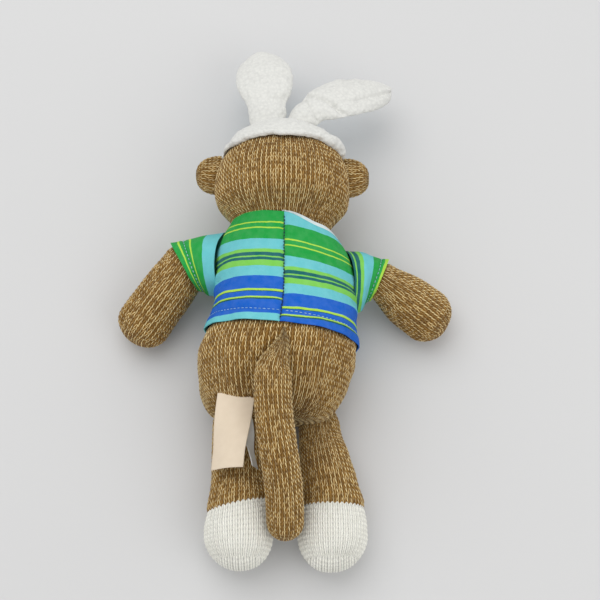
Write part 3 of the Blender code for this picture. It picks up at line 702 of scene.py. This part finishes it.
def build_bunny_ear(side, root, bend, tip, wide, roll):
    root, bend, tip = (np.array(v, float) for v in (root, bend, tip))
    rows, columns = 170, 140
    t = np.concatenate([np.linspace(-0.14 if side == "left" else -0.1, 0.0, 20, endpoint=False), 0.5 - 0.5 * np.cos(np.linspace(0, np.pi, rows - 20))])
    t_on = np.maximum(t, 0.0)
    centre = ear_line(root, bend, tip, t_on) + 2 * (bend - root) * np.minimum(t, 0.0)[:, None]
    ahead = ear_line(root, bend, tip, np.minimum(t_on + 0.02, 1)) - ear_line(root, bend, tip, np.maximum(t_on - 0.02, 0))
    ahead /= np.linalg.norm(ahead, axis=-1, keepdims=True)
    across = np.cross(ahead, np.array([0, 0, 1.0]))
    across /= np.linalg.norm(across, axis=-1, keepdims=True)
    up = np.cross(across, ahead)
    across, up = across * math.cos(roll) + up * math.sin(roll), up * math.cos(roll) - across * math.sin(roll)
    half = wide * (0.62 + 0.55 * t_on - 0.17 * t_on * t_on) * np.sqrt(np.maximum(1 - (2 * t_on - 1) ** 2, 0))
    near = 0.5 * wide + 0.28 * wide * np.clip(t + 0.14, 0, 1)
    half = half + (near - half) * smooth(0.34, 0.1, t)
    thick = 3.6 * np.sqrt(np.clip(np.minimum(half, 10.0) / 10.0, 0, 1))
    a = np.linspace(0, 2 * np.pi, columns, endpoint=False)
    side_x = np.sign(np.cos(a)) * np.abs(np.cos(a)) ** 0.8
    P = (
        centre[:, None, :]
        + across[:, None, :] * (half[:, None] * side_x[None, :])[..., None]
        + up[:, None, :] * (1.2 + thick[:, None] * np.sin(a)[None, :] - 2.0 * (side_x**2)[None, :])[..., None]
    )
    n = outward(P)
    upper = smooth(-0.1, 0.5, np.sin(a))[None, :]
    fold = np.zeros((rows, columns))
    if side == "left":
        # A soft dent near the root where the ear bends.
        fold -= 1.6 * bump(t, 0.2, 0.06)[:, None] * bump(side_x, 0.6, 0.6)[None, :]
        fold += 0.8 * bump(t, 0.62, 0.2)[:, None] * bump(side_x, 0.0, 0.5)[None, :]
    else:
        # A deep crease across the ear where it flops over, and a shallow one along its lower edge.
        fold -= 2.6 * bump(t[:, None] - 0.10 * side_x[None, :], 0.36, 0.035)
        fold -= 1.2 * bump(side_x, 0.55, 0.12)[None, :] * smooth(0.3, 0.5, t)[:, None]
        fold -= 1.0 * bump(t[:, None] + 0.06 * side_x[None, :], 0.16, 0.03)
    P = P + n * (fold * upper)[..., None]
    quiet = smooth(-0.14, -0.08, t) * smooth(1.0, 0.97, t)
    P = P + (fleece_relief(P, n, 0.42, 51) - P) * quiet[:, None, None]
    U = np.linspace(0, 60, columns + 1)[None, :]
    V = np.linspace(0, 60, rows)[:, None]
    ear = skin("rabbit_ear_" + side, P, U, V, FLEECE)
    body = "bunny_ear_" + side
    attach(ear, body)
    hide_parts(body)
    # The pale lining on the underside, a leaf a little smaller than the ear.
    s = np.linspace(-1, 1, 50)
    tl = 0.06 + 0.88 * np.linspace(0, 1, rows)
    hl = (0.84 if side == "left" else 0.7) * wide * (0.62 + 0.55 * tl - 0.17 * tl * tl) * np.sqrt(np.maximum(1 - (2 * tl - 1) ** 2, 0)) + 0.2
    cl = ear_line(root, bend, tip, tl)
    across, up = (np.stack([np.interp(tl, t, v[:, k]) for k in range(3)], -1) for v in (across, up))
    deep = 1.2 - 3.95 - 2.0 * s**2 + 1.6 * np.abs(s) ** 3
    L = (
        cl[:, None, :]
        + across[:, None, :] * (hl[:, None] * s[None, :])[..., None]
        + up[:, None, :] * np.broadcast_to(deep[None, :], (rows, 50))[..., None]
    )
    L = L + up[:, None, :] * (0.25 * lumps(L, 6.0, 61))[..., None]
    lining = skin(
        "rabbit_ear_lining_" + side, L, (hl[:, None] * s[None, :]), np.linspace(0, 55, rows)[:, None], LINING, wrap=False
    )
    solid = lining.modifiers.new("cloth", "SOLIDIFY")
    solid.thickness = 0.0006
    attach(lining, body)
    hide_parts("bunny_ear_lining_" + side)


build_bunny_ear("left", (-9.5, 110.4, 46), (-11, 137, 44), (-14, 159, 25), 18.6, 0.0)
build_bunny_ear("right", (9.5, 110.2, 46), (20, 124.5, 48), (60, 137, 25), 16.2, 0.3)

# ---------------------------------------------------------------- shirt
SHIRT_W = ((-24, 42.2), (-13, 41.2), (0, 39.4), (10, 38.4), (22, 37.8), (32, 35.8), (40, 32.2), (45, 29.2), (50, 26.8))
SHIRT_H = ((-24, 36.6), (-13, 36.4), (0, 35.8), (22, 32.4), (32, 29.7), (40, 26.2), (45, 23.8), (50, 22.0))
SHIRT_M = ((-24, 31.4), (-13, 31.8), (0, 32.0), (22, 34.0), (32, 35.8), (40, 38.5), (45, 40.4), (50, 42.0))


def shirt_point(y, angle, grow=0.0):
    c, s = np.cos(angle), np.sin(angle)
    x = (curve(SHIRT_W, y) + grow) * np.copysign(np.abs(c) ** 0.92, c)
    z = curve(SHIRT_M, y) + (curve(SHIRT_H, y) + grow) * np.copysign(np.abs(s) ** 0.92, s)
    yy = y - 0.15 * x * smooth(-20, 40, y)
    return np.stack(np.broadcast_arrays(x - 4 * smooth(-10, 35, -yy), yy, np.maximum(z, 0.25)), -1)


def collar_y(angle):
    return 48.4 - 2.6 * (1 - np.sin(angle)) / 2 - 4.0 * smooth(0.1, -0.8, np.sin(angle)) - 4.2 * smooth(0.02, 0.6, np.cos(angle))


ARMHOLES = {-1: np.array([-40.0, 30.5, 28.5]), 1: np.array([40.0, 19.0, 28.5])}


def build_panel(name, a0, a1, columns, rows, shift, lean, node):
    """A panel of the shirt between two angles round the body. shift moves its stripes down, lean tilts them."""
    angle = np.linspace(a0, a1, columns)[None, :]
    s = np.linspace(0, 1, rows)[:, None]
    hem = -13.5 - 0.1 * 41 * np.cos(angle)
    top = collar_y(angle)
    y = hem + s * (top - hem)
    P = shirt_point(y, angle)
    x, yy, z = P[..., 0], P[..., 1], P[..., 2]
    n = outward(P, wrap=False)
    above = smooth(10, 34, z)
    h = 0.9 * lumps(P * np.array([1.0, 0.8, 1.0]), 19.0, 71) + 0.35 * lumps(P, 8.0, 72)
    # The hem stands off a little and waves; the turned-up edge is a raised band with a groove where it is stitched.
    h = h + smooth(0.16, 0.0, s) * (0.3 + 0.6 * np.sin(angle * 7 + 0.6) + 0.4 * np.sin(angle * 13))
    h = h + 0.35 * smooth(0.105, 0.095, s) - 0.4 * bump(s, 0.098, 0.01)
    # The seam at the centre back sinks in and puckers.
    seam = np.abs(x - (-4 * smooth(-10, 35, -yy)))
    back = smooth(0.3, 0.8, np.sin(angle)) * smooth(1.0, 0.9, s)
    h = h + 0.5 * smooth(0.3, 0.8, np.sin(angle)) * smooth(0.94, 1.0, s)
    h = h - back * (0.9 * np.exp(-((seam / 1.5) ** 2)) + 0.35 * np.exp(-seam / 5.0) * np.sin(yy * 1.1 + np.sign(a0 - 1.5)))
    # Soft drag folds from each armpit.
    for sign, hole in ARMHOLES.items():
        d = np.sqrt((x - hole[0]) ** 2 + (yy - hole[1] + 13) ** 2 + (0.6 * (z - hole[2] - 6)) ** 2)
        turn = np.arctan2(yy - hole[1] + 13, -sign * (x - hole[0]) + 4)
        h = h + above * 0.9 * np.exp(-d / 16.0) * np.sin(7 * turn) * smooth(2.0, 8.0, d)
    P = P + n * (h * smooth(-0.3, 0.2, z / 10))[..., None]
    P[..., 2] = np.maximum(P[..., 2], 0.2)
    V = 0.97 * (48.4 - yy) - (lean + 0.13 * smooth(-5, 40, yy) * (x > 0)) * x + shift
    across = np.concatenate([[0], np.cumsum(np.linalg.norm(np.diff(P[rows // 2], axis=0), axis=-1))])
    panel = skin(name, P, across[None, :], V, SHIRT, wrap=False)
    solid = panel.modifiers.new("cloth", "SOLIDIFY")
    solid.thickness, solid.offset = 0.0007, -1.0
    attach(panel, "torso")
    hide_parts(node)
    return P


SIDE = -0.17
LEFT_EDGE = build_panel("shirt_left", math.pi / 2, math.pi - SIDE, 170, 200, 0.0, 0.09, "shirt_back_left")
RIGHT_EDGE = build_panel("shirt_right", SIDE, math.pi / 2, 170, 200, -8.8, 0.05, "shirt_back_right")
build_panel("shirt_belly", math.pi - SIDE, 2 * math.pi + SIDE, 170, 140, -3.0, 0.0, "shirt_front")


# ---------------------------------------------------------------- arms and sleeves
def build_arm(side, sign, shoulder, hand, first, seam_yz):
    shoulder, hand = np.array(shoulder, float), np.array(hand, float)
    length = np.linalg.norm(hand - shoulder)
    ahead = (hand - shoulder) / length
    wales, columns = 34, 34 * 4
    w = np.concatenate([[-11.0], np.linspace(-10.6, -3, 14), np.linspace(-2, length, 90)[1:], length + 12.6 * np.sin(np.linspace(0, np.pi / 2, 34))[1:]])
    thin, full = (12.8, 30) if sign < 0 else (10.6, 22)
    r = np.where(w < 0, np.sqrt(np.maximum(11.2**2 - np.minimum(w, 0) ** 2, 0)) * thin / 11.2, thin + (14.8 - thin) * np.sin(np.pi / 2 * np.clip(w / full, 0, 1)))
    r = np.where(w > length, 14.8 * np.sqrt(np.maximum(1 - ((w - length) / 12.6) ** 2, 0)), r)
    r[0], r[-1] = 0.0, 0.0
    centres = shoulder + ahead * w[:, None]
    P = tube_along(centres, r, columns)
    P[..., 2] = np.maximum(P[..., 2], 0.3)
    arm = knit_tube("arm_knit_" + side, P, wales, 2.5, MARL, 0.55, 0.7, 81 + sign, end=True)
    body = "arm_" + side
    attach(arm, body)
    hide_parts("arm_%s_skin" % side, "arm_%s_stuffing" % side)

    # The sleeve: a loft from the armhole seam on the shirt to the cuff round the arm, turned in at the cuff.
    columns, rows = 160, 90
    a = np.linspace(0, 2 * np.pi, columns, endpoint=False)
    centre = np.array([sign * 37.5, shoulder[1] - 2.0 * 0, 29.0])
    ring0 = np.stack([np.full(columns, centre[0]), centre[1] + 17.0 * np.cos(a), centre[2] + 18.0 * np.sin(a)], -1)
    ring0[:, 0] -= sign * (3.0 * np.cos(a) ** 2 + 0.12 * (ring0[:, 1] - centre[1]))
    lead = np.array([sign * 0.86, -0.48, -0.12]) if sign < 0 else np.array([0.9, -0.38, -0.12])
    lead /= np.linalg.norm(lead)
    across = np.cross(lead, [0, 0, 1.0])
    across /= np.linalg.norm(across)
    if across[1] < 0:
        across = -across
    above = np.cross(lead, across)
    above = above if above[2] > 0 else -above
    cuff = shoulder + (ahead * 0.5 if sign < 0 else np.array([-3.0, 1.6, 0.0]))
    ring1 = cuff + (15.2 if sign < 0 else 12.2) * (np.cos(a)[:, None] * across + np.sin(a)[:, None] * above)
    out0 = np.array([sign * 16.0, -2.0, 0.0])
    out1 = lead * 10.0
    s = np.linspace(0, 1, rows)[:, None, None]
    P = (
        ring0 * (1 + 2 * s) * (1 - s) ** 2
        + out0 * s * (1 - s) ** 2
        + ring1 * s * s * (3 - 2 * s)
        + out1 * s * s * (s - 1)
    )
    P[..., 2] = np.maximum(P[..., 2], 0.4)
    n = outward(P)
    along = np.linspace(0, 1, rows)[:, None]
    h = 0.8 * lumps(P, 11.0, 91 + sign) + 0.4 * np.sin(6 * a)[None, :] * smooth(0.5, 0.0, along) + 0.7 * smooth(0.8, 1.0, along) * np.sin(3 * a + 1)[None, :]
    sewn = 0.69 if sign < 0 else 0.77
    h = h - 0.45 * bump(along, sewn, 0.03) + 0.3 * smooth(sewn, sewn + 0.06, along) + 1.0 * bump(along, 0.38, 0.16)
    P = P + n * h[..., None]
    inner = P[::-1][:26] - outward(P)[::-1][:26] * 0.75
    step = np.linalg.norm(np.diff(P, axis=0), axis=-1).mean(axis=1)
    d = np.concatenate([[0], np.cumsum(step)])
    V = np.concatenate([d[-1] - d, (d[-1] - d)[::-1][:26]])
    U = np.linspace(0, 2 * np.pi * 16, columns + 1)[None, :]
    Q = np.concatenate([P, inner])
    Q[..., 2] = np.maximum(Q[..., 2], 0.3)
    sleeve = skin("sleeve_cloth_" + side, Q, U, V[:, None], SLEEVES[sign])
    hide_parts("sleeve_" + side, "armhole_thread_" + side)
    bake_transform(sleeve)
    return P, d


ARM_L = build_arm("left", -1, (-55.0, 31.0, 25.0), (-77.8, 2.0, 14.2), 20.9, None)
ARM_R = build_arm("right", 1, (55.0, 21.0, 25.5), (78.2, 6.0, 14.4), 30.2, None)


# ---------------------------------------------------------------- legs, toes and tail
def build_leg(side, hip, lean):
    hip = np.array(hip, float)
    ahead = np.array([lean, -1.0, 0.0])
    ahead /= np.linalg.norm(ahead)
    ankle, toe, foot_r = 44.0, 77.5, 19.4
    wales = 40
    columns = wales * 4
    w = np.concatenate([[-13.9], np.linspace(-13.7, 0, 18), np.linspace(0, ankle, 80)[1:], np.linspace(ankle, toe - foot_r, 28)[1:], toe - foot_r + foot_r * np.sin(np.linspace(0, np.pi / 2, 44))[1:]])
    r = np.where(w < 0, np.sqrt(np.maximum(15.4**2 - np.minimum(w, 0) ** 2, 0)), 15.4 + 1.6 * smooth(30, ankle, w) + 1.2 * smooth(ankle, ankle + 10, w))
    over = np.clip((w - (toe - foot_r)) / foot_r, 0, 1)
    r = r * np.sqrt(np.maximum(1 - over**2, 0)) ** 0.9
    r[0], r[-1] = 0.0, 0.0
    # Each leg is narrower where it comes out from under the seat, and the right one starts further in.
    r = r * (1 - (0.28 if side == "right" else 0.06) * smooth(34, 0, w))
    line = hip + ahead * w[:, None]
    line[:, 0] += (-6.5 if side == "right" else 0.5) * smooth(46, -6, w) + (1.2 if side == "left" else -0.4)
    line[:, 2] -= (4.0 if side == "right" else 0.0) * smooth(34, 4, w)
    P = tube_along(line, r, columns)
    P[..., 2] = np.maximum(P[..., 2], 0.3)
    step = np.linalg.norm(np.diff(P, axis=0), axis=-1).mean(axis=1)
    V = np.concatenate([[0.0], np.cumsum(step)]) / 2.5
    U = np.linspace(0.0, wales, columns + 1)
    UU, VV = (np.array(np.broadcast_to(v, (len(w), columns + 1))) for v in (U[None, :], V[:, None]))
    n = outward(P)
    _, Ue, Ve, k = close_end(P, UU, VV, wales, 2.5)
    keep = np.r_[0 : k + 1, k + 2 : len(w) + 1]
    h = 0.55 * (knit_height(Ue[keep, :-1], Ve[keep, :-1]) - 0.5)
    seed = 101 if side == "left" else 111
    h = h + 0.7 * lumps(P, 17.0, seed) + 0.3 * lumps(P, 7.0, seed + 1)
    # The white yarn joins in with a shallow groove.
    h = h - 0.5 * bump(w, ankle, 1.6)[:, None]
    h = h * smooth(0.3, 4.0, r)[:, None]
    P = P + n * h[..., None]
    leg_share = 2 * np.abs(U[:-1] - np.floor(U[:-1]) - 0.5)
    P = P + ahead * (1.3 * (0.5 - leg_share)[None, :] * bump(w, ankle, 3.5)[:, None])[..., None]
    slant = -0.2 if side == "left" else 0.04
    P = P + ahead * (slant * (P[..., 0] - hip[0]) * bump(w, ankle, 14.0)[:, None])[..., None]
    P[..., 2] = np.maximum(P[..., 2], 0.15)
    split = int(np.searchsorted(w, ankle))
    leg = skin("leg_knit_" + side, P[: split + 1], UU[: split + 1], VV[: split + 1], MARL)
    foot = skin("toe_knit_" + side, np.concatenate([P[split : k + 1], P[k:]]), Ue[split:], Ve[split:], TOE)
    body = "leg_" + side
    for piece, nodes, slot in (
        (leg, ("leg_%s_skin" % side, "leg_%s_stuffing" % side, "hip_thread_" + side), "brown_knit"),
        (foot, ("foot_%s_cap" % side,), "toe_knit"),
    ):
        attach(piece, body)
        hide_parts(*nodes)


build_leg("left", (-25.5, -58.0, 19.6), 0.01)
build_leg("right", (25.5, -58.0, 19.6), 0.005)


def build_tail():
    root, mid, end = np.array([0.0, -19.0, 71.4]), np.array([0.0, -68.0, 67.5]), np.array([0.5, -112.4, 37.4])
    t = np.linspace(0.0, 1.0, 170)
    line = ear_line(root, mid, end, t)
    line[:, 0] -= 5.6 * smooth(0.0, 0.22, t) * smooth(0.95, 0.3, t)
    line[:, 2] -= 5.0 * smooth(0.62, 0.0, t)
    high = 3.0 + 7.6 * smooth(0.0, 0.42, t)
    r = 1.4 + 9.3 * np.clip(t / 0.26, 0, 1) ** 0.9
    r = np.minimum(r, 9.8)
    ahead = (line[-1] - line[-3]) / np.linalg.norm(line[-1] - line[-3])
    a = np.linspace(0, np.pi / 2, 26)[1:]
    line = np.concatenate([line, line[-1] + ahead * (10.6 * np.sin(a))[:, None]])
    r = np.stack([np.concatenate([v, v[-1] * np.cos(a)]) for v in (r, high)], -1)
    back = (line[0] - line[2]) / np.linalg.norm(line[0] - line[2])
    line = np.concatenate([[line[0] + back * 2.5 + np.array([0.0, 0.0, -3.5])], line])
    r = np.concatenate([[[0.0, 0.0]], r])
    r[-1] = 0.0
    P = tube_along(line, r, 25 * 4)
    tail = knit_tube("tail_knit", P, 25, 2.5, MARL, 0.55, 0.6, 121, end=True)
    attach(tail, "tail")
    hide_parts("tail_skin", "tail_stuffing", "tail_thread")


build_tail()


# ---------------------------------------------------------------- seam threads, facing and labels
def dashes(name, line, radius, on, off, material, lift=0.0):
    """A row of stitches along a line of points, each a short thread with rounded ends."""
    line = np.asarray(line, float)
    run = np.concatenate([[0], np.cumsum(np.linalg.norm(np.diff(line, axis=0), axis=-1))])
    made = []
    at = 0.0
    while at + on < run[-1]:
        spots = np.linspace(at, at + on, 7)
        mid = np.stack([np.interp(spots, run, line[:, k]) for k in range(3)], -1)
        arch = np.sin(np.linspace(0, np.pi, 7))
        mid[:, 2] += lift * arch
        r = radius * np.array([0.25, 0.8, 1, 1, 1, 0.8, 0.25])
        P = tube_along(mid, r, 6)
        made.append(skin("%s_%d" % (name, len(made)), P, np.linspace(0, 1, 7)[None, :], np.arange(7.0)[:, None], material))
        at += on + off
    return join(name, made)


seam_line = (LEFT_EDGE[:, 0] + RIGHT_EDGE[:, -1]) / 2
seam = dashes("back_seam_stitches", seam_line[6:-2] + np.array([0, 0, 0.2]), 0.33, 1.2, 0.6, NAVY, 0.25)
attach(seam, "torso")
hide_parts("shirt_back_seam")

for side, edge in (("left", LEFT_EDGE), ("right", RIGHT_EDGE)):
    row = int(0.098 * (len(edge) - 1))
    hem_line = edge[row] + outward(edge, wrap=False)[row] * 0.25
    stitches = dashes("hem_stitches_" + side, hem_line[2:-2], 0.2, 1.5, 0.9, PALE, 0.05)
    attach(stitches, "torso")

for side, (sleeve_points, _) in (("left", ARM_L), ("right", ARM_R)):
    sewn = int((0.69 if side == "left" else 0.77) * 89)
    ring = sleeve_points[sewn] + outward(sleeve_points)[sewn] * 0.45
    ring = ring[np.r_[0:160, 0]]
    stitches = dashes("cuff_stitches_" + side, ring, 0.2, 1.5, 0.9, PALE, 0.0)
    hub = ARMHOLES[-1 if side == "left" else 1]
    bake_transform(stitches)


def build_facing():
    """The pale neck facing inside the collar, which shows along the right of the seam."""
    angle = np.linspace(0, 2 * np.pi, 241)[None, :]
    rows = []
    for up, grow in ((-3.0, -1.2), (0.0, -1.0), (1.4, -0.7), (1.9, -0.2)):
        y = collar_y(angle) + up * (0.55 + 0.9 * smooth(0.0, 0.5, np.cos(angle)) * smooth(0.2, 0.7, np.sin(angle)))
        rows.append(shirt_point(y, angle, grow)[0])
    P = np.stack(rows)[:, :-1]
    P = P + 0.25 * lumps(P, 5.0, 131)[..., None] * np.array([0, 0.6, 1.0])
    facing = skin("neck_facing", P, np.linspace(0, 160, 241)[None, :], np.arange(4.0)[:, None], FACING)
    solid = facing.modifiers.new("cloth", "SOLIDIFY")
    solid.thickness = 0.0006
    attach(facing, "torso")
    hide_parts("shirt_neck_facing")


build_facing()


def build_label(name, corner, wide, long, bow, lift, drop, shift, material, node, twist=0.0):
    """A bare label sewn in at its top edge, which bows as it lies on the leg."""
    u = np.linspace(0, 1, 40)[None, :]
    v = np.linspace(0, 1, 70)[:, None]
    turn = twist * smooth(0.15, 0.8, v)
    x = corner[0] + wide * (u - 0.5) * np.cos(turn) + shift * (v * v if not twist else v)
    y = corner[1] - 0.95 * long * v + 0 * u
    z = corner[2] + lift + bow * np.sin(np.pi * u) * (0.5 + 0.5 * v) - drop * v * v + wide * (u - 0.5) * np.sin(turn)
    P = np.stack(np.broadcast_arrays(x, y, z), -1)
    P[..., 2] += 0.25 * lumps(P, 9.0, 141)
    label = skin(name, P, wide * u, long * v * np.ones_like(u), material, wrap=False)
    solid = label.modifiers.new("cloth", "SOLIDIFY")
    solid.thickness, solid.offset = 0.0004, 0.0
    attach(label, "tags")
    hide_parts(node)


build_label("satin_label", (-25.0, -46.5, 44.0), 19.5, 41.0, 2.6, 2.7, 6.6, -4.6, SATIN, "label", 0.5)
build_label("tape_label", (-24.0, -50.0, 41.5), 10.0, 36.0, 0.6, 0.2, 4.0, 9.0, TAPE, "care_label", -1.3)

# ---------------------------------------------------------------- CAD pieces that stay as they are
KEPT = {
    "eye_left": EYE, "eye_right": EYE, "eye_washer_left": WASHER, "eye_washer_right": WASHER,
    "mouth_stitching": MOUTH, "nostril_stitch_left": BROWN, "nostril_stitch_right": BROWN,
    "neck_thread": BROWN,
}
for node, material in KEPT.items():
    if node in NODES:
        NODES[node].data.materials.clear()
        NODES[node].data.materials.append(material)

# ---------------------------------------------------------------- floor, light and camera
floor_paint = Paint("pale_floor")
spot = floor_paint.place()
cloud = floor_paint.noise(spot, 3.0, 2.0)
grain = floor_paint.noise(spot, 400.0, 2.0)
floor_mat = floor_paint.finish(
    floor_paint.mix(cloud, srgb(206, 206, 206), srgb(202, 202, 202)), grain, 0.02, floor_paint.ramp(grain, [(0.3, 0.6), (0.7, 0.75)]), specular=0.2
)
bpy.ops.mesh.primitive_plane_add(size=6.0, location=(0, 0, 0))
floor = bpy.context.object
floor.name = "floor"
floor.data.materials.append(floor_mat)


def area_light(name, place, target, size, power, colour=(1, 1, 1)):
    data = bpy.data.lights.new(name, "AREA")
    data.shape, data.size, data.energy, data.color = "DISK", size, power, colour
    obj = bpy.data.objects.new(name, data)
    SCENE.collection.objects.link(obj)
    obj.location = place
    obj.rotation_mode = "QUATERNION"
    obj.rotation_quaternion = (Vector(target) - Vector(place)).to_track_quat("-Z", "Y")
    return obj


area_light("key", (-0.25, 0.45, 1.15), (0, 0, 0), 1.3, 6.4)
area_light("fill", (0.7, -0.5, 0.9), (0, 0, 0), 0.9, 2.4)
world = bpy.data.worlds.new("studio")
SCENE.world = world
world.use_nodes = True
back = next(n for n in world.node_tree.nodes if n.type == "BACKGROUND")
back.inputs[0].default_value = (1.0, 1.0, 1.0, 1.0)
back.inputs[1].default_value = 0.8
SCENE.view_settings.view_transform = "Standard"

data = bpy.data.cameras.new("photo_camera")
data.lens, data.sensor_width = 95.6, 36.0
data.clip_start, data.clip_end = 0.01, 50.0
camera = bpy.data.objects.new("photo_camera", data)
SCENE.collection.objects.link(camera)
tilt = math.radians(72.0)
target = Vector((0.0084, 0.020, 0.0))
camera.location = target - Vector((0, math.cos(tilt), -math.sin(tilt))) * 0.9
camera.rotation_mode = "QUATERNION"
camera.rotation_quaternion = (target - camera.location).to_track_quat("-Z", "Y")
SCENE.camera = camera
